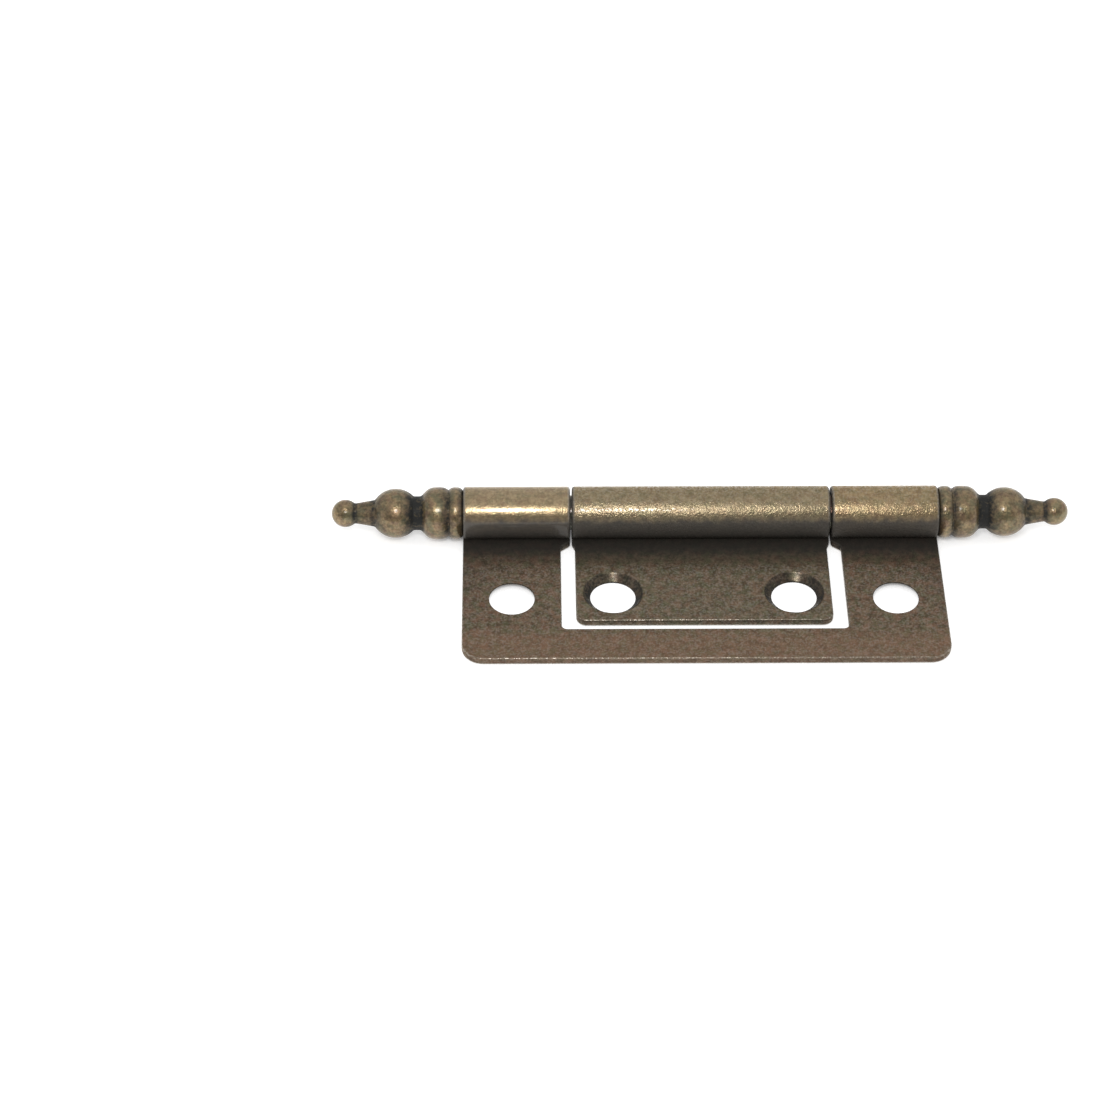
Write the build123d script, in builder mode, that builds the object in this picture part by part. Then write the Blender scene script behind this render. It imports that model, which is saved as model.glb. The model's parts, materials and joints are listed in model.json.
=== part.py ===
import os
from math import asin, cos, degrees, isclose, radians, sin, tan

from build123d import *

os.makedirs("parts", exist_ok=True)

# Flush cabinet hinge with turned finials, closed and lying flat. Millimetres.
# +X runs along the barrel, the leaves point to -Y, and z = 0 is the underside of both leaves.

# Pin and rolled barrel
pin_diameter = 3.7
pin_clearance = 0.03  # running gap all round the pin
barrel_length = 50.0  # over all three knuckles
knuckle_gap = 0.2  # end play between neighbouring knuckles
seam_gap = 0.05  # open seam where the rolled end comes back to the leaf

# Sheet metal
leaf_thickness = 0.9
outside_edge_break = 0.3  # worn rim on the underside and on the outside of the knuckles
inside_edge_break = 0.12  # the same on the top and inside the knuckles

# Inner leaf, its width taken from the barrel axis to the front edge
inner_leaf_length = 26.5
inner_leaf_width = 14.5
inner_corner_radius = 1.05
inner_hole_side_inset = 3.85  # hole centre to the side edge
inner_hole_front_inset = 4.2  # hole centre to the front edge

# Outer leaf, a frame round the inner one
window_side_gap = 1.5  # clear strip on each side of the inner leaf
window_front_gap = 1.2  # the same in front of it
window_corner_radius = 0.6
web_width = 4.4  # strip in front of the window
outer_corner_radius = 2.2
outer_hole_distance = 11.2  # hole centre to the barrel axis

# Shoulders, where a leaf widens into its knuckle
knuckle_shoulder = 0.3  # how far the centre knuckle stands past its leaf on each side
shoulder_clearance = 0.45  # from the front of the barrel to the start of the shoulder
shoulder_length = 0.8
shoulder_round = 0.5

# Screw holes
screw_hole_diameter = 4.7
countersink_angle = 90.0
countersink_land = 0.15  # straight wall left below the cone

# Finials: lengths along the barrel from the knuckle end outwards
collar_bevel = 0.45
collar_flat = 0.65
groove_bevel = 0.45  # collar to the bottom of the groove
bead_bevel = 0.8  # groove to the top of the bead
bead_flat = 0.9
neck_length = 0.76
stem_length = 2.12

# Finials: radii, the first ones taken inwards from the barrel
base_inset = 0.13  # base's rim to the edge of the knuckle's flat end
bead_inset = 0.03  # bead and collar under the barrel, so that the leaves carry the hinge
groove_depth = 0.2
bead_round = 0.9  # from the top of the bead into the slope down to the neck
bead_slope = 50.0  # degrees
neck_radius = 1.8
ball_radius = 2.6
stem_root_radius = 1.42
stem_end_radius = 1.05
tip_radius = 1.45

# Pin ends, pressed into the finials
pin_seat = 3.2  # how far the pin goes into each finial
pin_end_chamfer = 0.3
socket_clearance = 0.01
socket_end_gap = 0.1

# Sizes that follow from the ones above
pin_radius = pin_diameter / 2
bore_radius = pin_radius + pin_clearance
barrel_radius = bore_radius + leaf_thickness
window_length = inner_leaf_length + 2 * window_side_gap
window_width = inner_leaf_width + window_front_gap
outer_leaf_width = window_width + web_width
inner_knuckle_length = inner_leaf_length + 2 * knuckle_shoulder
knuckle_opening = inner_knuckle_length + 2 * knuckle_gap
outer_knuckle_length = (barrel_length - knuckle_opening) / 2
outer_hole_spacing = (barrel_length + window_length) / 2  # each hole in the middle of its arm
inner_hole_spacing = inner_leaf_length - 2 * inner_hole_side_inset
screw_hole_radius = screw_hole_diameter / 2
countersink_depth = leaf_thickness - countersink_land
countersink_radius = screw_hole_radius + countersink_depth * tan(radians(countersink_angle / 2))

# Radii of a finial's base and bead, and the angles between its axis and the ends of its balls
base_radius = barrel_radius - outside_edge_break - base_inset
bead_radius = barrel_radius - bead_inset
groove_radius = bead_radius - groove_depth
slope_radius = bead_radius - bead_round * (1 - cos(radians(bead_slope)))
neck_angle = degrees(asin(neck_radius / ball_radius))
stem_angle = degrees(asin(stem_root_radius / ball_radius))
ball_turn = 180 - neck_angle - stem_angle
tip_angle = degrees(asin(stem_end_radius / tip_radius))
tip_turn = 180 - tip_angle

# Stations along a finial
collar_end = collar_bevel + collar_flat
groove = collar_end + groove_bevel
bead_start = groove + bead_bevel
bead_end = bead_start + bead_flat
slope_start = bead_end + bead_round * sin(radians(bead_slope))
neck_start = slope_start + (slope_radius - neck_radius) / tan(radians(bead_slope))
ball_centre = neck_start + neck_length + ball_radius * cos(radians(neck_angle))
stem_start = ball_centre + ball_radius * cos(radians(stem_angle))
tip_centre = stem_start + stem_length + tip_radius * cos(radians(tip_angle))
socket_depth = pin_seat + socket_end_gap
socket_radius = pin_radius + socket_clearance

# The barrel axis stands so that the whole hinge is centred on the origin and rests on z = 0
axis_y = (outer_leaf_width - barrel_radius) / 2
axis_z = barrel_radius
shoulder_front = axis_y - barrel_radius - shoulder_clearance
shoulder_back = shoulder_front + shoulder_length


def leaf_outline(length, width, knuckle_length, corner_radius):
    # Plan of the inner leaf or of the window: its sides step at the shoulder to the knuckle's length
    front = axis_y - width
    with BuildSketch() as outline:
        with BuildLine():
            Polyline(
                (0, front),
                (length / 2, front),
                (length / 2, shoulder_front),
                (knuckle_length / 2, shoulder_back),
                (knuckle_length / 2, axis_y),
                (0, axis_y),
            )
            mirror(about=Plane.YZ)
        make_face()
        rows = outline.vertices().group_by(Axis.Y)
        fillet(rows[1] + rows[2], shoulder_round)
        fillet(outline.vertices().group_by(Axis.Y)[0], corner_radius)
    return outline.sketch


def rolled_section(start):
    # End view of a knuckle: the sheet curls from under the pin, round the back and down to the leaf's top
    roll_angle = 270 + degrees(asin((bore_radius - seam_gap) / barrel_radius))
    with BuildSketch(Plane.YZ.offset(start)) as section:
        with BuildLine():
            outside = CenterArc((axis_y, axis_z), barrel_radius, -90, roll_angle)
            inside = CenterArc((axis_y, axis_z), bore_radius, -90, roll_angle)
            Line(outside @ 0, inside @ 0)
            Line(outside @ 1, inside @ 1)
        make_face()
    return section.sketch


def rim(sheet, height, roll_radius):
    # Outline edges on one side of the sheet: round the flat leaf and on round the knuckle ends
    flat = sheet.edges().filter_by_position(Axis.Z, height, height)
    flat = flat.filter_by(lambda edge: not isclose(edge.center().Y, axis_y))
    ends = sheet.faces().filter_by(Axis.X).edges().filter_by(GeomType.CIRCLE)
    return flat + ends.filter_by(lambda edge: isclose(edge.radius, roll_radius))


# Outer leaf: a C-shaped frame with a rolled knuckle at each end, countersunk on its underside
with BuildPart() as outer_leaf:
    with BuildSketch() as frame:
        with Locations((0, axis_y)):
            Rectangle(barrel_length, outer_leaf_width, align=(Align.CENTER, Align.MAX))
        fillet(frame.vertices().group_by(Axis.Y)[0], outer_corner_radius)
        add(
            leaf_outline(window_length, window_width, knuckle_opening, window_corner_radius),
            mode=Mode.SUBTRACT,
        )
    extrude(amount=leaf_thickness)
    for start in (-barrel_length / 2, knuckle_opening / 2):
        extrude(rolled_section(start), amount=outer_knuckle_length)
    chamfer(rim(outer_leaf, 0, barrel_radius), outside_edge_break)
    chamfer(rim(outer_leaf, leaf_thickness, bore_radius), inside_edge_break)
    with Locations(Location((0, axis_y - outer_hole_distance, 0), (180, 0, 0))):
        with GridLocations(outer_hole_spacing, 0, 2, 1):
            CounterSinkHole(screw_hole_radius, countersink_radius, counter_sink_angle=countersink_angle)
outer_leaf.part.label = "outer_leaf"
export_step(outer_leaf.part, "parts/outer_leaf.step")

# Inner leaf: fits the window and carries the long centre knuckle, countersunk on its top
with BuildPart() as inner_leaf:
    add(leaf_outline(inner_leaf_length, inner_leaf_width, inner_knuckle_length, inner_corner_radius))
    extrude(amount=leaf_thickness)
    extrude(rolled_section(-inner_knuckle_length / 2), amount=inner_knuckle_length)
    chamfer(rim(inner_leaf, 0, barrel_radius), outside_edge_break)
    chamfer(rim(inner_leaf, leaf_thickness, bore_radius), inside_edge_break)
    with Locations((0, axis_y - inner_leaf_width + inner_hole_front_inset, leaf_thickness)):
        with GridLocations(inner_hole_spacing, 0, 2, 1):
            CounterSinkHole(screw_hole_radius, countersink_radius, counter_sink_angle=countersink_angle)
inner_leaf.part.label = "inner_leaf"
export_step(inner_leaf.part, "parts/inner_leaf.step")

# Hinge pin: one straight rod through all three knuckles and into both finials
with BuildPart() as hinge_pin:
    with BuildSketch(Plane.YZ):
        with Locations((axis_y, axis_z)):
            Circle(pin_radius)
    extrude(amount=barrel_length / 2 + pin_seat, both=True)
    chamfer(hinge_pin.edges().filter_by(GeomType.CIRCLE), pin_end_chamfer)
hinge_pin.part.label = "hinge_pin"
export_step(hinge_pin.part, "parts/hinge_pin.step")

# Finials: turned collar, bead, neck, ball, stem and tip, with a blind socket for the pin end
for label, side in (("left_finial", -1), ("right_finial", 1)):
    seat = Plane(origin=(side * barrel_length / 2, axis_y, axis_z), x_dir=(side, 0, 0), z_dir=(0, -side, 0))
    with BuildPart() as finial:
        with BuildSketch(seat):
            with BuildLine():
                Polyline(
                    (0, base_radius),
                    (collar_bevel, bead_radius),
                    (collar_end, bead_radius),
                    (groove, groove_radius),
                    (bead_start, bead_radius),
                    (bead_end, bead_radius),
                )
                bead = CenterArc((bead_end, bead_radius - bead_round), bead_round, 90, -bead_slope)
                ball = CenterArc((ball_centre, 0), ball_radius, stem_angle + ball_turn, -ball_turn)
                tip = CenterArc((tip_centre, 0), tip_radius, tip_turn, -tip_turn)
                Polyline(bead @ 1, (neck_start, neck_radius), ball @ 0)
                Line(ball @ 1, tip @ 0)
                Polyline(
                    tip @ 1,
                    (socket_depth, 0),
                    (socket_depth, socket_radius),
                    (0, socket_radius),
                    (0, base_radius),
                )
            make_face()
        revolve(axis=Axis(seat.origin, seat.x_dir))
    finial.part.label = label
    export_step(finial.part, f"parts/{label}.step")
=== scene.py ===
import json
import math

import bmesh
import bpy
from mathutils import Matrix, Vector, geometry


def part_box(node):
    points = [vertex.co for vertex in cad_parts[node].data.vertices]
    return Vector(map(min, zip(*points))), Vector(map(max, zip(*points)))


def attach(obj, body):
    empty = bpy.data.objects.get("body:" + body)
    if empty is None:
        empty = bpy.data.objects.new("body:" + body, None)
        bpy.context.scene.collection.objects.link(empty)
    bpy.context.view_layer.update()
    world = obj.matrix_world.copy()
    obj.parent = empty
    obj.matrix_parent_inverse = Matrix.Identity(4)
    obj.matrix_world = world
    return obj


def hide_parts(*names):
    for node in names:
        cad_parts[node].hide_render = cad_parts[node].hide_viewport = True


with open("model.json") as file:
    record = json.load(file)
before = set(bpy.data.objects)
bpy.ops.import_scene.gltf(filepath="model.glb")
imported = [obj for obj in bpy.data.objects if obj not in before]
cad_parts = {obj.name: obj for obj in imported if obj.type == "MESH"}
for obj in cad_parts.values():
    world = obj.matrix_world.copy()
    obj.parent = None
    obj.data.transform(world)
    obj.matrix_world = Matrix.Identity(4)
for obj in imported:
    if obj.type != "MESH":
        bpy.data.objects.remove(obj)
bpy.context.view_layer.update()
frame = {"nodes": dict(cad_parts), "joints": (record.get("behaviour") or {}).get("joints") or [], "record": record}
mm = 0.001
tiny = 0.004 * mm  # places nearer to each other than this count as one
flatLimit = 0.9999  # upright share of a flat face's normal
sharpAngle = math.radians(40)  # edges that turn more than this keep a hard line

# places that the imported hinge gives
hingeAxis = Vector(frame["joints"][0]["pos_m"])
mounts = {mount["name"]: mount for mount in frame["record"]["mounts"]}
outerLow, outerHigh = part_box("outer_leaf")
innerLow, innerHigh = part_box("inner_leaf")
barrelRadius = outerHigh.z - hingeAxis.z
print("frame loaded, barrel radius", round(barrelRadius / mm, 3), "mm")


# Small helpers for objects and node trees

def addObject(name, data):
    made = bpy.data.objects.new(name, data)
    bpy.context.scene.collection.objects.link(made)
    return made


def meshFrom(bm, name):
    mesh = bpy.data.meshes.new(name)
    bm.to_mesh(mesh)
    bm.free()
    return mesh


def newMaterial(name):
    material = bpy.data.materials.new(name)
    material.use_nodes = True
    tree = material.node_tree
    return material, tree, tree.nodes["Principled BSDF"]


def addNode(tree, kind, **settings):
    node = tree.nodes.new(kind)
    for key, value in settings.items():
        setattr(node, key, value)
    return node


def feed(tree, value, socket):
    # the value is another node's output, a colour or a number
    if isinstance(value, bpy.types.NodeSocket):
        tree.links.new(value, socket)
    elif isinstance(value, tuple):
        socket.default_value = (*value, 1)
    else:
        socket.default_value = value


def mathNode(tree, operation, first, second, clamp=False):
    node = addNode(tree, "ShaderNodeMath", operation=operation, use_clamp=clamp)
    feed(tree, first, node.inputs[0])
    feed(tree, second, node.inputs[1])
    return node.outputs["Value"]


def times(tree, first, second):
    return mathNode(tree, "MULTIPLY", first, second)


def rangeNode(tree, value, limits, results=(0, 1), curve="LINEAR"):
    node = addNode(tree, "ShaderNodeMapRange", interpolation_type=curve)
    tree.links.new(value, node.inputs["Value"])
    for name, number in zip(("From Min", "From Max", "To Min", "To Max"), (*limits, *results)):
        node.inputs[name].default_value = number
    return node.outputs["Result"]


def fade(tree, value, start, end):
    # a soft mask, 0 at the start and 1 at the end
    return rangeNode(tree, value, (start, end), curve="SMOOTHSTEP")


def mixValue(tree, mask, first, second):
    return rangeNode(tree, mask, (0, 1), (first, second))


def mixColour(tree, mask, first, second):
    node = addNode(tree, "ShaderNodeMix", data_type="RGBA")
    tree.links.new(mask, node.inputs["Factor"])
    feed(tree, first, node.inputs[6])  # the colour sockets share their names with others
    feed(tree, second, node.inputs[7])
    return node.outputs[2]


def noiseNode(tree, place, size, detail, roughness):
    node = addNode(tree, "ShaderNodeTexNoise")
    node.inputs["Scale"].default_value = 1 / size
    node.inputs["Detail"].default_value = detail
    node.inputs["Roughness"].default_value = roughness
    tree.links.new(place, node.inputs["Vector"])
    return node.outputs["Fac"]


def splitPlace(tree, place):
    node = addNode(tree, "ShaderNodeSeparateXYZ")
    tree.links.new(place, node.inputs["Vector"])
    return node.outputs


def readLayer(tree, name):
    return addNode(tree, "ShaderNodeAttribute", attribute_name=name).outputs["Fac"]


def newGroup(name, outputs):
    group = bpy.data.node_groups.new(name, "ShaderNodeTree")
    group.interface.new_socket("Place", in_out="INPUT", socket_type="NodeSocketVector")
    for label in outputs:
        group.interface.new_socket(label, in_out="OUTPUT", socket_type="NodeSocketFloat")
    place = addNode(group, "NodeGroupInput").outputs["Place"]
    return group, place, addNode(group, "NodeGroupOutput").inputs


def useGroup(tree, group, place):
    node = addNode(tree, "ShaderNodeGroup", node_tree=group)
    tree.links.new(place, node.inputs["Place"])
    return node.outputs


# Effects that the brass pieces share, each noise with its size, detail and roughness

patinaLook = {
    "speck": (0.28 * mm, 3, 0.6), "blotch": (0.8 * mm, 3, 0.55),
    "cloud": (5 * mm, 3, 0.55), "tint": (1.0 * mm, 2, 0.6),
    "tintShift": (0.37, 0.11, 0.23),  # takes the tint from another part of the same noise
    "mottleRange": (0.4, 0.6), "cloudRange": (0.35, 0.65),  # noise that counts as none and as full
    "redRange": (0.51, 0.64), "greenRange": (0.49, 0.36),
}


def makePatina():
    group, place, end = newGroup("agedPatina", ["Mottle", "Red", "Green", "Cloud"])
    speck = noiseNode(group, place, *patinaLook["speck"])
    blotch = noiseNode(group, place, *patinaLook["blotch"])
    mottle = times(group, mathNode(group, "ADD", speck, blotch), 0.5)  # the mean of both
    cloud = noiseNode(group, place, *patinaLook["cloud"])
    shift = addNode(group, "ShaderNodeVectorMath", operation="ADD")
    group.links.new(place, shift.inputs[0])
    shift.inputs[1].default_value = patinaLook["tintShift"]
    tint = noiseNode(group, shift.outputs["Vector"], *patinaLook["tint"])
    feed(group, rangeNode(group, mottle, patinaLook["mottleRange"]), end["Mottle"])
    feed(group, rangeNode(group, tint, patinaLook["redRange"]), end["Red"])
    feed(group, rangeNode(group, tint, patinaLook["greenRange"]), end["Green"])
    feed(group, rangeNode(group, cloud, patinaLook["cloudRange"]), end["Cloud"])
    return group


grainLook = {
    "pit": (0.13 * mm, 2, 0.6), "pitShare": 0.3,  # fine pits, shallower than the waves
    "wave": (0.26 * mm, 2, 0.5),
    "glint": (0.2 * mm, 1, 0.5), "glintRange": (0.5, 0.6),
}


def makeGrain():
    group, place, end = newGroup("castGrain", ["Height", "Sparkle"])
    pit = times(group, noiseNode(group, place, *grainLook["pit"]), grainLook["pitShare"])
    wave = noiseNode(group, place, *grainLook["wave"])
    feed(group, mathNode(group, "ADD", pit, wave), end["Height"])
    glint = noiseNode(group, place, *grainLook["glint"])
    feed(group, rangeNode(group, glint, grainLook["glintRange"]), end["Sparkle"])
    return group


# painted shade in the corner between barrel and leaf, partly also dark plate that buffing never reached: the
# barrel's lower front and the leaf just before it
cornerShadeLook = {
    "low": (4.5 * mm, 3.5 * mm),  # heights where it fades in down the barrel
    "facing": (1.3 * mm, 1.9 * mm),  # only this far in front of the axis, or further
    "near": (6.6 * mm, 3.4 * mm),  # how far in front of the axis it reaches on the leaf
    "above": (0.4 * mm, 0.8 * mm),  # heights that leave the underside out
    "spots": (0.8 * mm, 2, 0.5), "ragged": 0.8 * mm,  # an uneven edge
}


def makeCornerShade():
    group, place, end = newGroup("cornerShadeAndDirt", ["Mask"])
    parts = splitPlace(group, place)
    spots = noiseNode(group, place, *cornerShadeLook["spots"])
    ragged = times(group, mathNode(group, "SUBTRACT", spots, 0.5), cornerShadeLook["ragged"])  # both ways
    height = mathNode(group, "ADD", parts["Z"], ragged)
    forward = mathNode(group, "SUBTRACT", hingeAxis.y, parts["Y"])
    reach = mathNode(group, "ADD", forward, ragged)
    low = fade(group, height, *cornerShadeLook["low"])
    facing = fade(group, forward, *cornerShadeLook["facing"])
    near = fade(group, reach, *cornerShadeLook["near"])
    above = fade(group, parts["Z"], *cornerShadeLook["above"])
    onBarrel = times(group, low, facing)
    onLeaf = times(group, near, above)
    feed(group, times(group, onBarrel, onLeaf), end["Mask"])
    return group


agedPatina = makePatina()
castGrain = makeGrain()
barrelCornerShade = makeCornerShade()
print("shared finishes made")


# Brass: one build of nodes, with a look for each piece

def platedColour(tree, look, parts, patina, raised):
    # brown sheet low down, yellower brass on what stands up, both stained
    dark = mixColour(tree, raised, look["flatDark"], look["raisedDark"])
    light = mixColour(tree, raised, look["flatLight"], look["raisedLight"])
    colour = mixColour(tree, patina["Mottle"], dark, light)
    stains = mixValue(tree, raised, 1, look["raisedStains"])
    red = times(tree, times(tree, patina["Red"], look["redShare"]), stains)
    colour = mixColour(tree, red, colour, look["red"])
    green = times(tree, times(tree, patina["Green"], look["greenShare"]), stains)
    colour = mixColour(tree, green, colour, look["green"])
    front = fade(tree, parts["Y"], look["frontStart"], look["frontEnd"])  # redder along the front
    return mixColour(tree, times(tree, front, look["frontShare"]), colour, look["front"])


def dirtAndShadeMask(tree, look, place, patina, wear, rubbed):
    # ragged edges, dirt left between the rubbed spots along the rims, and the painted shade in the barrel's corner
    ragged = mixValue(tree, patina["Mottle"], *look["dirtAndShadeRagged"])
    dirtAndShade = mathNode(tree, "MULTIPLY", readLayer(tree, "dirtAndShade"), ragged, clamp=True)
    onRims = times(tree, mathNode(tree, "SUBTRACT", wear, rubbed), look["rimGrime"])
    dirtAndShade = mathNode(tree, "MAXIMUM", dirtAndShade, onRims)
    # the painted shade in the barrel's corner joins the darkening here
    if look["cornerShadeShare"]:
        cornerShade = times(tree, useGroup(tree, barrelCornerShade, place)["Mask"], look["cornerShadeShare"])
        dirtAndShade = mathNode(tree, "MAXIMUM", dirtAndShade, cornerShade)
    return dirtAndShade


def brassMaterial(name, look):
    material, tree, shader = newMaterial(name)
    feed(tree, look["coatRough"], shader.inputs["Coat Roughness"])
    feed(tree, look["grimeGloss"], shader.inputs["Specular IOR Level"])
    feed(tree, look["edgeTint"], shader.inputs["Specular Tint"])
    place = addNode(tree, "ShaderNodeTexCoord").outputs["Object"]
    parts = splitPlace(tree, place)
    patina = useGroup(tree, agedPatina, place)
    grain = useGroup(tree, castGrain, place)
    wear = readLayer(tree, "edgeWear")
    burnish = readLayer(tree, "burnish")
    raised = fade(tree, parts["Z"], look["flatHeight"], look["raisedHeight"])

    # plate, rubbed rims, and darkening that hides the metal: dirt, and painted shade in the barrel's corner, the
    # knuckle gaps, the cut walls and the countersinks
    colour = platedColour(tree, look, parts, patina, raised)
    rubbed = times(tree, wear, mixValue(tree, grain["Sparkle"], look["rubbedLeast"], 1))
    colour = mixColour(tree, times(tree, rubbed, look["rubbedShare"]), colour, look["rubbed"])
    dirtAndShade = dirtAndShadeMask(tree, look, place, patina, wear, rubbed)
    onRoll = fade(tree, parts["Z"], look["flatHeight"], look["dirtAndShadeHeight"])
    darkening = mixColour(tree, onRoll, look["flatDirtAndShade"], look["raisedDirtAndShade"])
    feed(tree, mixColour(tree, dirtAndShade, colour, darkening), shader.inputs["Base Color"])
    dull = mathNode(tree, "SUBTRACT", dirtAndShade, burnish, clamp=True)
    feed(tree, mixValue(tree, dull, 1, look["dirtAndShadeMetal"]), shader.inputs["Metallic"])

    # the left knuckle is rubbed smoother than the rest, and so are the countersinks
    smooth = fade(tree, parts["X"], look["smoothEnd"] + look["smoothFade"], look["smoothEnd"])
    smooth = times(tree, smooth, raised)
    grainy = mathNode(tree, "SUBTRACT", raised, smooth)
    glint = times(tree, grain["Sparkle"], look["glintDrop"])
    rough = mixValue(tree, patina["Cloud"], look["roughLow"], look["roughHigh"])
    rough = mathNode(tree, "SUBTRACT", rough, times(tree, smooth, look["smoothDrop"]))
    rough = mathNode(tree, "SUBTRACT", rough, times(tree, burnish, look["burnishDrop"]))
    rough = mathNode(tree, "ADD", rough, times(tree, dull, look["dirtAndShadeRough"]))
    rough = mathNode(tree, "SUBTRACT", rough, times(tree, glint, grainy))
    feed(tree, rough, shader.inputs["Roughness"])

    # brighter spots of clear coat, and an even one on the smooth knuckle
    clean = mathNode(tree, "SUBTRACT", 1, dirtAndShade, clamp=True)
    spots = mixValue(tree, grain["Sparkle"], look["coatLow"], look["coatHigh"])
    polished = times(tree, smooth, look["smoothCoat"])
    coat = mathNode(tree, "MAXIMUM", times(tree, spots, clean), polished)
    feed(tree, coat, shader.inputs["Coat Weight"])

    # grain, shallow on the flat sheet and where it is rubbed
    relief = mixValue(tree, smooth, 1, look["smoothRelief"])
    relief = times(tree, relief, mixValue(tree, raised, look["flatRelief"], 1))
    relief = times(tree, relief, mixValue(tree, burnish, 1, look["burnishRelief"]))
    bump = addNode(tree, "ShaderNodeBump")
    feed(tree, look["bump"], bump.inputs["Distance"])
    feed(tree, times(tree, grain["Height"], relief), bump.inputs["Height"])
    feed(tree, bump.outputs["Normal"], shader.inputs["Normal"])
    return material


nowhere = -1  # a smooth stretch that ends here, left of the whole hinge, shows nowhere
leafLook = {
    "flatHeight": 0.8 * mm, "raisedHeight": 3.4 * mm, "dirtAndShadeHeight": 2.2 * mm,
    "flatDark": (0.085, 0.062, 0.041), "flatLight": (0.186, 0.136, 0.091),
    "raisedDark": (0.228, 0.166, 0.093), "raisedLight": (0.37, 0.28, 0.16),
    "red": (0.205, 0.11, 0.073), "redShare": 0.42,
    "green": (0.105, 0.115, 0.06), "greenShare": 0.42, "raisedStains": 0.6,
    "front": (0.254, 0.151, 0.096), "frontShare": 0.3, "frontStart": -6.5 * mm, "frontEnd": -9 * mm,
    "rubbed": (0.4, 0.355, 0.29), "rubbedShare": 0.65, "rubbedLeast": 0.45, "rimGrime": 0.45,
    # colours of the darkening, used for dirt and for painted shade alike
    "flatDirtAndShade": (0.021, 0.02, 0.019), "raisedDirtAndShade": (0.066, 0.063, 0.06),
    "dirtAndShadeRagged": (1.2, 0.7),  # how the mottling strengthens and weakens the grime
    "cornerShadeShare": 0.9, "dirtAndShadeRough": 0.35, "dirtAndShadeMetal": 0.2, "grimeGloss": 0.25,
    "edgeTint": (0.75, 0.7, 0.62),
    "roughLow": 0.29, "roughHigh": 0.36, "glintDrop": 0.055,
    "coatLow": 0, "coatHigh": 1, "coatRough": 0.13,
    "smoothEnd": -14 * mm, "smoothFade": 1 * mm,
    "smoothDrop": 0.07, "smoothRelief": 0.45, "smoothCoat": 0.6,
    "burnishDrop": 0.06, "burnishRelief": 0.3,
    "bump": 0.048 * mm, "flatRelief": 0.25,
}
innerLook = {
    **leafLook,
    "flatDark": (0.087, 0.068, 0.0445), "flatLight": (0.186, 0.144, 0.0965),
    "raisedDark": (0.202, 0.157, 0.095), "raisedLight": (0.32, 0.255, 0.158),
    "redShare": 0.3, "frontShare": 0, "smoothEnd": nowhere,
}
finialLook = {
    **leafLook,
    "flatHeight": -2 * mm, "raisedHeight": -1 * mm, "dirtAndShadeHeight": -1 * mm,  # raised from the floor up
    "raisedDark": (0.128, 0.094, 0.048), "raisedLight": (0.295, 0.213, 0.109),
    "redShare": 0.4, "green": (0.12, 0.135, 0.075), "raisedStains": 1, "frontShare": 0,
    "raisedDirtAndShade": (0.02, 0.021, 0.021), "cornerShadeShare": 0, "dirtAndShadeRough": 0.25,
    "roughLow": 0.26, "roughHigh": 0.34, "glintDrop": 0, "smoothEnd": nowhere,
    "coatLow": 0.6, "coatRough": 0.16,
}
# near-black plate, partly painted shade for the knuckle gaps where the pin shows
pinShadeLook = {**finialLook, "raisedDark": (0.02, 0.017, 0.014), "raisedLight": (0.06, 0.045, 0.035)}
outerBrass = brassMaterial("outerLeafBrass", leafLook)
innerBrass = brassMaterial("innerLeafBrass", innerLook)
finialBrass = brassMaterial("finialBrass", finialLook)
pinShadeBrass = brassMaterial("pinShadeDarkBrass", pinShadeLook)
print("materials made")


# Leaves: flat sheet, rolled at the back round the pin

sheet = {
    "thickness": 0.9 * mm,
    "underRound": 0.3 * mm,  # rim on the underside and outside the roll
    "topRound": 0.15 * mm,  # rim on the top and inside the roll
    "underSteps": 6,
    "topSteps": 4,
    "rollSteps": 80,
    "seamGap": 0.05 * mm,
    "shoulder": 0.3 * mm,  # knuckle past the leaf's side
    "shoulderClearance": 0.45 * mm,
    "shoulderLength": 0.8 * mm,
    "shoulderRound": 0.5 * mm,
    "knuckleGap": 0.2 * mm,
    "cornerSteps": 10,
    # darkening on the cut walls, partly dirt and partly painted shade of walls seen edge-on; beside the knuckles
    # it is painted shade in the narrow gaps
    "wallDirtAndShade": 0.35,  # on the cut edges
    "gapShade": 0.8,  # the same beside the knuckles
    "fewCorners": 8,  # a level face with more is one of the sheet's own two
}
shoulderFront = hingeAxis.y - barrelRadius - sheet["shoulderClearance"]
shoulderBack = shoulderFront + sheet["shoulderLength"]


def mirrored(half):
    # the outline's right half from front to back, and the same points on the left coming back
    return half + [(-x, y, radius) for x, y, radius in reversed(half)]


def roundCorner(bm, vert, radius, steps):
    first, second = [edge.other_vert(vert).co - vert.co for edge in vert.link_edges]
    turn = math.pi - first.angle(second)
    bmesh.ops.bevel(
        bm, geom=[vert], offset=radius * math.tan(turn / 2), offset_type="OFFSET", affect="VERTICES",
        segments=steps, profile=0.5, material=-1,
    )


def roundRim(bm, height, size, steps):
    rim = [
        edge for edge in bm.edges
        if all(abs(vert.co.z - height) < tiny for vert in edge.verts)
        and any(abs(vert.co.y - hingeAxis.y) > tiny for vert in edge.verts)
    ]
    bmesh.ops.bevel(
        bm, geom=rim, offset=size, offset_type="OFFSET", affect="EDGES",
        segments=steps, profile=0.5, material=-1, clamp_overlap=False,
    )


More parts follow.
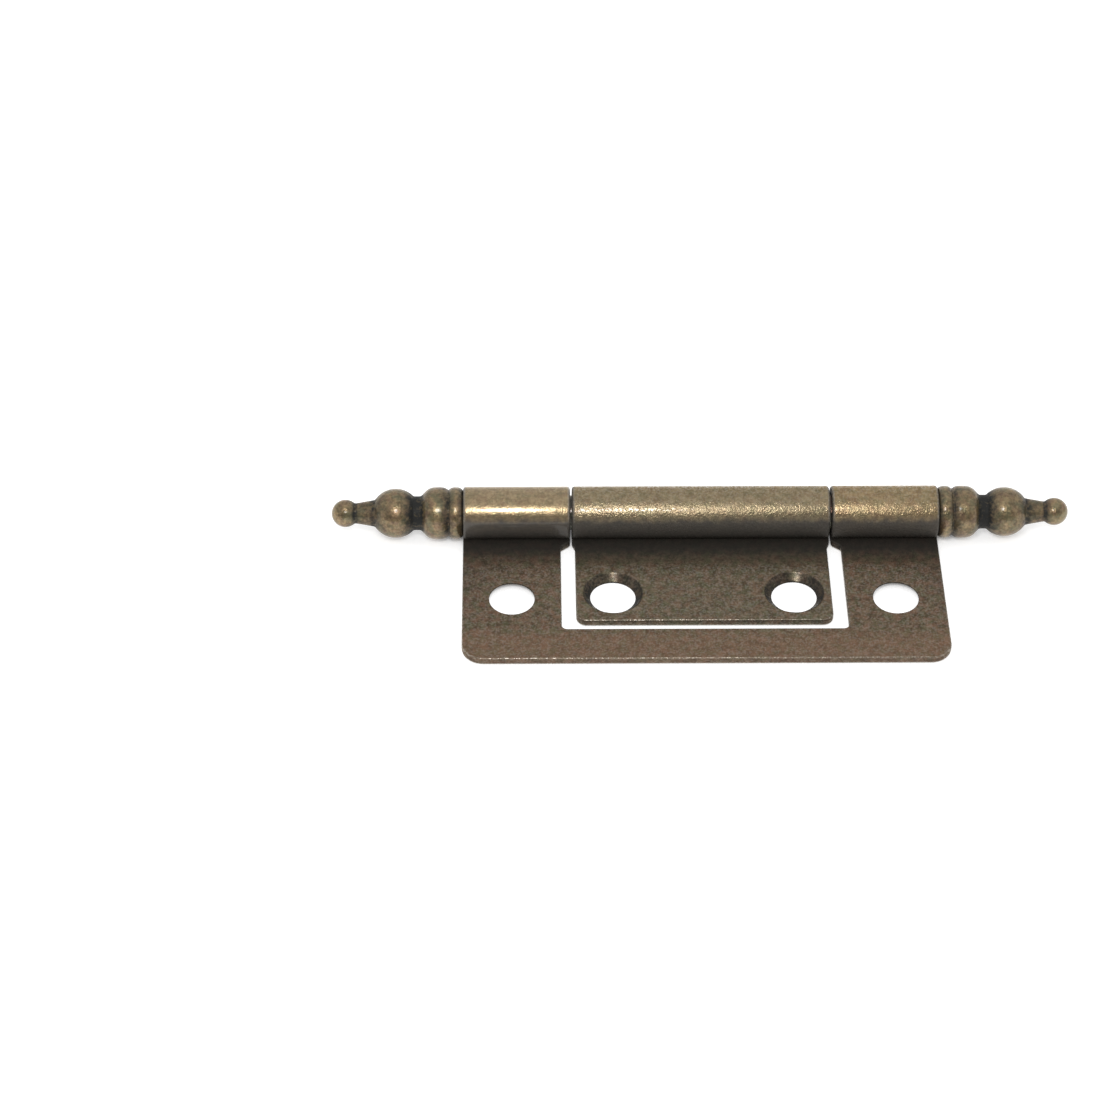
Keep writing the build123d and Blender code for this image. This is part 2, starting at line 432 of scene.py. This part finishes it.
def cutSheet(corners):
    # the leaf before it is rolled, with rounded corners and rims
    bm = bmesh.new()
    for layer in ("edgeWear", "dirtAndShade", "burnish"):
        bm.verts.layers.float.new(layer)
    ring = [bm.verts.new((x, y, 0)) for x, y, radius in corners]
    bm.faces.new(ring)
    for vert, (x, y, radius) in zip(ring, corners):
        if radius:
            roundCorner(bm, vert, radius, sheet["cornerSteps"])
    lifted = bmesh.ops.extrude_face_region(bm, geom=bm.faces[:] + bm.edges[:])["geom"]
    top = [item for item in lifted if isinstance(item, bmesh.types.BMVert)]
    bmesh.ops.translate(bm, vec=(0, 0, sheet["thickness"]), verts=top)
    roundRim(bm, 0, sheet["underRound"], sheet["underSteps"])
    roundRim(bm, sheet["thickness"], sheet["topRound"], sheet["topSteps"])
    return bm


def wearEdges(bm):
    # the rims are rubbed, and the cut wall between them is darkened, partly as dirt and partly as painted shade
    wear = bm.verts.layers.float["edgeWear"]
    dirtAndShade = bm.verts.layers.float["dirtAndShade"]
    wallLow = sheet["underRound"]
    wallHigh = sheet["thickness"] - sheet["topRound"]
    for vert in bm.verts:
        onUnder = tiny < vert.co.z < wallLow - tiny
        onTop = wallHigh + tiny < vert.co.z < sheet["thickness"] - tiny
        vert[wear] = 1 if onUnder or onTop else 0
        if wallLow - tiny < vert.co.z < wallHigh + tiny:
            vert[dirtAndShade] = sheet["gapShade"] if vert.co.y > shoulderFront else sheet["wallDirtAndShade"]


def rollBack(bm, ends):
    # the back edge curls under the pin, round and down to the leaf's top
    back = [face for face in bm.faces if all(abs(vert.co.y - hingeAxis.y) < tiny for vert in face.verts)]
    backEdges = list(dict.fromkeys(edge for face in back for edge in face.edges))  # each one once
    backVerts = list(dict.fromkeys(vert for face in back for vert in face.verts))
    boreRadius = barrelRadius - sheet["thickness"]
    lastTurn = math.asin((boreRadius - sheet["seamGap"]) / barrelRadius)  # down to the seam
    rollAngle = 1.5 * math.pi + lastTurn
    bmesh.ops.spin(
        bm, geom=back + backEdges + backVerts, cent=hingeAxis, axis=(1, 0, 0), angle=rollAngle,
        steps=sheet["rollSteps"],
    )

    # painted shade in the narrow knuckle gaps, also standing for dirt there: the knuckle ends are darkened, fading
    # out over their rounded rims
    dirtAndShade = bm.verts.layers.float["dirtAndShade"]
    for vert in bm.verts:
        fromAxis = math.hypot(vert.co.y - hingeAxis.y, vert.co.z - hingeAxis.z)
        fromEnd = min(abs(vert.co.x - end) for end in ends)
        if fromAxis < barrelRadius + tiny:
            vert[dirtAndShade] = max(vert[dirtAndShade], 1 - fromEnd / sheet["underRound"])


screwHoles = {
    "radius": mounts["inner_screws"]["dims"]["hole_r_mm"] * mm,
    "land": 0.15 * mm,  # straight wall left below the cone
    "lip": 0.07 * mm,  # rounding of both rims
    "soft": 0.021 * mm,  # how far the middle of a rounding gives way
    "foot": 0.028 * mm,  # the rounding below the cone
    "hold": 0.03 * mm,  # narrow rows that keep the cone's shading straight
    # the cone is darkened all round, partly dirt in the hollow and partly painted shade that hides its reflection
    # of the floor; the barrel's side, where the lamp's streak falls, is left lighter
    "coneDirtAndShade": 0.9, "rimDirt": 0.45, "underDirt": 0.5,
    "rimPolish": 0.2, "landPolish": 0.5,
    "litSideClean": 0.35,  # share of the dirt that full polish takes off
    "rubbedFocus": 2,  # how closely the polish keeps to the barrel's side
    "steps": 72,
}


def holeProfile():
    # countersunk at the top, with softened rims; each row is radius, height, darkening and polish
    radius, land, lip = screwHoles["radius"], screwHoles["land"], screwHoles["lip"]
    soft, hold = screwHoles["soft"], screwHoles["hold"]
    coneDirtAndShade = screwHoles["coneDirtAndShade"]
    top = sheet["thickness"]
    wide = radius + top - land
    return [
        (wide + lip, top, 0, 0),
        (wide, top - soft, screwHoles["rimDirt"], screwHoles["rimPolish"]),
        (wide - lip, top - lip, coneDirtAndShade, 1),
        (wide - lip - hold, top - lip - hold, coneDirtAndShade, 1),
        (radius + soft + hold, land + soft + hold, coneDirtAndShade, 1),
        (radius + soft, land + soft, coneDirtAndShade, 1),
        (radius, land - screwHoles["foot"], 1, screwHoles["landPolish"]),
        (radius, lip, 1, 0),
        (radius + soft, soft, screwHoles["underDirt"], 0),
        (radius + lip, 0, 0, 0),
    ]


def turnedOver(profile):
    # the same hole, countersunk from below
    return [(radius, sheet["thickness"] - height, darkening, polish) for radius, height, darkening, polish in profile]


def holeCentres(mount):
    middle = Vector(mount["pos_m"])
    half = mount["dims"]["spacing_x_mm"] * mm / 2
    return [Vector((middle.x + side * half, middle.y, 0)) for side in (-1, 1)]


def drillHole(bm, centre, profile):
    # wall of a screw hole: a short outline turned round the hole's own axis
    dirtAndShade = bm.verts.layers.float["dirtAndShade"]
    burnish = bm.verts.layers.float["burnish"]
    before = set(bm.verts)
    chain = []
    for radius, height, darkening, polish in profile:
        vert = bm.verts.new((centre.x + radius, centre.y, height))
        vert[dirtAndShade] = darkening
        vert[burnish] = polish
        chain.append(vert)
    edges = [bm.edges.new(pair) for pair in zip(chain, chain[1:])]
    bmesh.ops.spin(
        bm, geom=chain + edges, cent=centre, axis=(0, 0, 1), angle=math.tau,
        steps=screwHoles["steps"], use_merge=True,
    )
    # kept lighter and glossier on the barrel's side, where the lamp's streak falls; the rest of the cone keeps its
    # painted shade
    for vert in set(bm.verts) - before:  # rubbed bright on the barrel's side alone
        across = vert.co - centre
        towardsBarrel = max(0, across.y / math.hypot(across.x, across.y))
        vert[burnish] *= towardsBarrel ** screwHoles["rubbedFocus"]
        vert[dirtAndShade] *= 1 - screwHoles["litSideClean"] * vert[burnish]


def fillFlats(bm, holes, profile):
    # the two flat faces are filled again round the screw holes
    flats = [
        face for face in bm.faces
        if abs(face.normal.z) > flatLimit and len(face.verts) > sheet["fewCorners"]
    ]
    bmesh.ops.delete(bm, geom=flats, context="FACES_ONLY")
    for centre in holes:
        drillHole(bm, centre, profile)
    for height, normal in ((0, (0, 0, -1)), (sheet["thickness"], (0, 0, 1))):
        loop = [
            edge for edge in bm.edges
            if edge.is_boundary and all(abs(vert.co.z - height) < tiny for vert in edge.verts)
        ]
        bmesh.ops.triangle_fill(bm, edges=loop, use_beauty=True, normal=normal)


def rollLeaf(corners, holes, profile):
    bm = cutSheet(corners)
    wearEdges(bm)
    rollBack(bm, [x for x, y, radius in corners if y == hingeAxis.y])
    fillFlats(bm, holes, profile)
    return bm


def finishPiece(bm, name, node, body, material):
    bmesh.ops.recalc_face_normals(bm, faces=bm.faces)
    mesh = meshFrom(bm, name)
    mesh.set_sharp_from_angle(angle=sharpAngle)
    for face in mesh.polygons:  # the leaves' flat faces stay flat, the roll above them is smooth
        onSheet = face.center.z < sheet["thickness"] + tiny
        face.use_smooth = not onSheet or abs(face.normal.z) < flatLimit
    mesh.materials.append(material)
    piece = addObject(name, mesh)
    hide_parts(node)
    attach(piece, body)
    print("made", name, len(mesh.polygons), "faces")


innerPlan = {"cornerRound": 1.05 * mm}
innerSide = innerHigh.x - sheet["shoulder"]
innerCorners = mirrored([
    (innerSide, innerLow.y, innerPlan["cornerRound"]),
    (innerSide, shoulderFront, sheet["shoulderRound"]),
    (innerHigh.x, shoulderBack, sheet["shoulderRound"]),
    (innerHigh.x, hingeAxis.y, 0),
])
innerMesh = rollLeaf(innerCorners, holeCentres(mounts["inner_screws"]), holeProfile())
finishPiece(innerMesh, "innerLeafSheet", "inner_leaf", "swing_leaf", innerBrass)

outerPlan = {
    "cornerRound": 2.2 * mm,
    "sideGap": 1.5 * mm, "frontGap": 1.2 * mm, "windowRound": 0.6 * mm,  # the window round the inner leaf
}
windowSide = innerSide + outerPlan["sideGap"]
knuckleSide = innerHigh.x + sheet["knuckleGap"]
outerCorners = mirrored([
    (windowSide, innerLow.y - outerPlan["frontGap"], outerPlan["windowRound"]),
    (windowSide, shoulderFront, sheet["shoulderRound"]),
    (knuckleSide, shoulderBack, sheet["shoulderRound"]),
    (knuckleSide, hingeAxis.y, 0),
    (outerHigh.x, hingeAxis.y, 0),
    (outerHigh.x, outerLow.y, outerPlan["cornerRound"]),
])
outerMesh = rollLeaf(outerCorners, holeCentres(mounts["outer_screws"]), turnedOver(holeProfile()))
finishPiece(outerMesh, "outerLeafSheet", "outer_leaf", "frame_leaf", outerBrass)


# Finials: one turned outline, spun round the barrel's axis

finialTurning = {
    "socketRadius": 1.86 * mm, "socketDepth": 3.3 * mm,
    "stretchSteps": 8,  # points along the outline between two knots
    "leastTurn": 1,  # degrees, so that a straight stretch has handles too
    "steps": 96,
    "mergeReach": 0.0005 * mm,
}

# each knot, in mm and degrees: distance from the knuckle end, radius, slope of the outline, grime
# grime above 1 stays dark through the mottling
finialKnots = [
    (0.0, 2.3, 78, 1),  # collar
    (0.78, 2.75, 0, 0),
    (1.45, 2.5, -50, 0.8),  # groove
    (1.62, 2.5, 42, 0.8),
    (2.85, 2.76, 0, 0),  # bead
    (4.0, 2.27, -48, 0.35),
    (4.3, 1.935, -48, 1.1),
    (4.62, 1.79, 0, 1.2),  # neck
    (5.08, 1.79, 0, 1.2),
    (5.3, 1.873, 43.9, 1.15),  # ball
    (5.75, 2.22, 31.4, 0.75),
    (6.3, 2.473, 18, 0.35),
    (7.103, 2.6, 0, 0),
    (8.6, 2.126, -35.1, 0.35),
    (9.05, 1.723, -48.5, 0.65),
    (9.2, 1.537, -53.8, 0.8),
    (9.43, 1.394, -9.9, 0.9),  # stem
    (9.9, 1.312, -9.9, 0.55),
    (11.0, 1.12, -9.9, 0.45),
    (11.22, 1.082, -9.9, 0.85),
    (11.5, 1.136, 38.4, 0.85),  # tip
    (11.8, 1.32, 24.5, 0.3),
    (12.401, 1.45, 0, 0),
    (13.426, 1.025, -45, 0),
    (13.851, 0.0, -90, 0),
]


def alongSlope(degrees):
    return Vector((math.cos(math.radians(degrees)), math.sin(math.radians(degrees)), 0))


def turnedOutline(knots):
    # arcs that leave and reach each knot along its slope
    steps = finialTurning["stretchSteps"]
    points = []
    for (x0, r0, slope0, grime0), (x1, r1, slope1, grime1) in zip(knots, knots[1:]):
        first = Vector((x0, r0, 0)) * mm
        last = Vector((x1, r1, 0)) * mm
        turn = math.radians(max(abs(slope1 - slope0), finialTurning["leastTurn"]))
        reach = (last - first).length * 2 / 3 * math.tan(turn / 4) / math.sin(turn / 2)  # an arc's handles
        leave = first + alongSlope(slope0) * reach
        arrive = last - alongSlope(slope1) * reach
        stretch = geometry.interpolate_bezier(first, leave, arrive, last, steps + 1)
        for step, point in enumerate(stretch[:-1]):
            points.append((point.x, point.y, grime0 + (grime1 - grime0) * step / steps))
    points.append((knots[-1][0] * mm, 0, 0))
    return points


def turnFinial(side):
    bm = bmesh.new()
    dirtAndShade = bm.verts.layers.float.new("dirtAndShade")
    root = Vector((side * outerHigh.x, hingeAxis.y, hingeAxis.z))
    depth, bore = finialTurning["socketDepth"], finialTurning["socketRadius"]
    socket = [(depth, 0, 1), (depth, bore, 1), (0, bore, 1)]
    chain = []
    for distance, radius, darkening in socket + turnedOutline(finialKnots):
        vert = bm.verts.new(root + Vector((side * distance, 0, radius)))
        vert[dirtAndShade] = darkening
        chain.append(vert)
    edges = [bm.edges.new(pair) for pair in zip(chain, chain[1:])]
    bmesh.ops.spin(
        bm, geom=chain + edges, cent=root, axis=(1, 0, 0), angle=math.tau,
        steps=finialTurning["steps"], use_merge=True,
    )
    bmesh.ops.remove_doubles(bm, verts=bm.verts, dist=finialTurning["mergeReach"])
    return bm


for side, word in ((-1, "left"), (1, "right")):
    name = word + "FinialTurning"
    finishPiece(turnFinial(side), name, word + "_finial", "frame_leaf", finialBrass)

# the pin's own solid is right as it is; its near-black plate is partly painted shade for the knuckle gaps where
# the pin shows
pin = frame["nodes"]["hinge_pin"]
pin.data.materials.clear()
pin.data.materials.append(pinShadeBrass)
print("pieces made")


# Stage: pale floor, soft light all round, one lamp above the camera

cameraView = {
    "place": Vector((-18.918, -253.544, 236.197)) * mm,
    "elevation": math.radians(42.4853),
    "turn": math.radians(-0.9106),
    "roll": math.radians(0.4423),
    "lens": 106.976, "sensor": 36,
    "clipStart": 0.01,
}


def makeCamera():
    cameraData = bpy.data.cameras.new("photoCamera")
    cameraData.lens = cameraView["lens"]
    cameraData.sensor_width = cameraView["sensor"]
    cameraData.sensor_fit = "HORIZONTAL"
    cameraData.clip_start = cameraView["clipStart"]
    camera = addObject("photoCamera", cameraData)
    camera.matrix_world = (
        Matrix.Translation(cameraView["place"])
        @ Matrix.Rotation(cameraView["turn"], 4, "Z")
        @ Matrix.Rotation(math.pi / 2 - cameraView["elevation"], 4, "X")
        @ Matrix.Rotation(cameraView["roll"], 4, "Z")
    )
    bpy.context.scene.camera = camera


floorLook = {
    "size": 3.0, "drop": 0.02 * mm,
    "colour": (0.84, 0.84, 0.84), "rough": 0.9, "gloss": 0.1,
    "glow": 0.5, "glowColour": (1, 1, 1),
    "shadeReach": 1.5 * mm, "shadeRange": (0.04, 0.22),  # no glow where the hinge covers the floor
    "shadeSamples": 8,
}


def floorMaterial():
    material, tree, shader = newMaterial("paleFloor")
    feed(tree, floorLook["colour"], shader.inputs["Base Color"])
    feed(tree, floorLook["rough"], shader.inputs["Roughness"])
    feed(tree, floorLook["gloss"], shader.inputs["Specular IOR Level"])
    feed(tree, floorLook["glowColour"], shader.inputs["Emission Color"])
    path = addNode(tree, "ShaderNodeLightPath").outputs
    seen = mathNode(tree, "MAXIMUM", path["Is Camera Ray"], path["Is Glossy Ray"])
    seen = mathNode(tree, "MAXIMUM", seen, path["Is Transmission Ray"])
    cover = addNode(tree, "ShaderNodeAmbientOcclusion", samples=floorLook["shadeSamples"])
    feed(tree, floorLook["shadeReach"], cover.inputs["Distance"])
    shade = fade(tree, cover.outputs["AO"], *floorLook["shadeRange"])
    glow = times(tree, times(tree, seen, shade), floorLook["glow"])
    feed(tree, glow, shader.inputs["Emission Strength"])
    return material


def makeFloor():
    bm = bmesh.new()
    bmesh.ops.create_grid(bm, x_segments=1, y_segments=1, size=floorLook["size"] / 2)
    bmesh.ops.translate(bm, vec=(0, 0, -floorLook["drop"]), verts=bm.verts)
    mesh = meshFrom(bm, "paleFloor")
    mesh.materials.append(floorMaterial())
    floor = addObject("paleFloor", mesh)


skyLook = {
    "colour": (1, 1, 1), "level": 0.9,
    "frontLevel": 0.34, "frontRange": (-0.95, -0.3),  # dim where the room behind the camera is
}


def makeSky():
    world = bpy.data.worlds.new("softStudio")
    bpy.context.scene.world = world
    world.use_nodes = True
    tree = world.node_tree
    background = tree.nodes["Background"]
    feed(tree, skyLook["colour"], background.inputs["Color"])
    parts = splitPlace(tree, addNode(tree, "ShaderNodeTexCoord").outputs["Generated"])
    away = fade(tree, parts["Y"], *skyLook["frontRange"])
    level = mixValue(tree, away, skyLook["frontLevel"], skyLook["level"])
    path = addNode(tree, "ShaderNodeLightPath").outputs
    seen = mathNode(tree, "MAXIMUM", level, path["Is Camera Ray"])
    feed(tree, seen, background.inputs["Strength"])


keyLamp = {
    "target": Vector((-4, 8, 0)) * mm,
    "elevation": math.radians(54), "sideways": -0.08, "distance": 0.26,
    "size": 0.06, "power": 0.2,
}


def makeLamp():
    lampData = bpy.data.lights.new("keyLamp", "AREA")
    lampData.shape = "DISK"
    lampData.size = keyLamp["size"]
    lampData.energy = keyLamp["power"]
    lamp = addObject("keyLamp", lampData)
    rise = keyLamp["elevation"]
    toLamp = Vector((keyLamp["sideways"], -math.cos(rise), math.sin(rise))).normalized()
    lamp.location = keyLamp["target"] + toLamp * keyLamp["distance"]
    lamp.rotation_euler = toLamp.to_track_quat("Z", "Y").to_euler()


makeCamera()
makeFloor()
makeSky()
makeLamp()
bpy.context.scene.view_settings.view_transform = "Standard"
print("stage set")
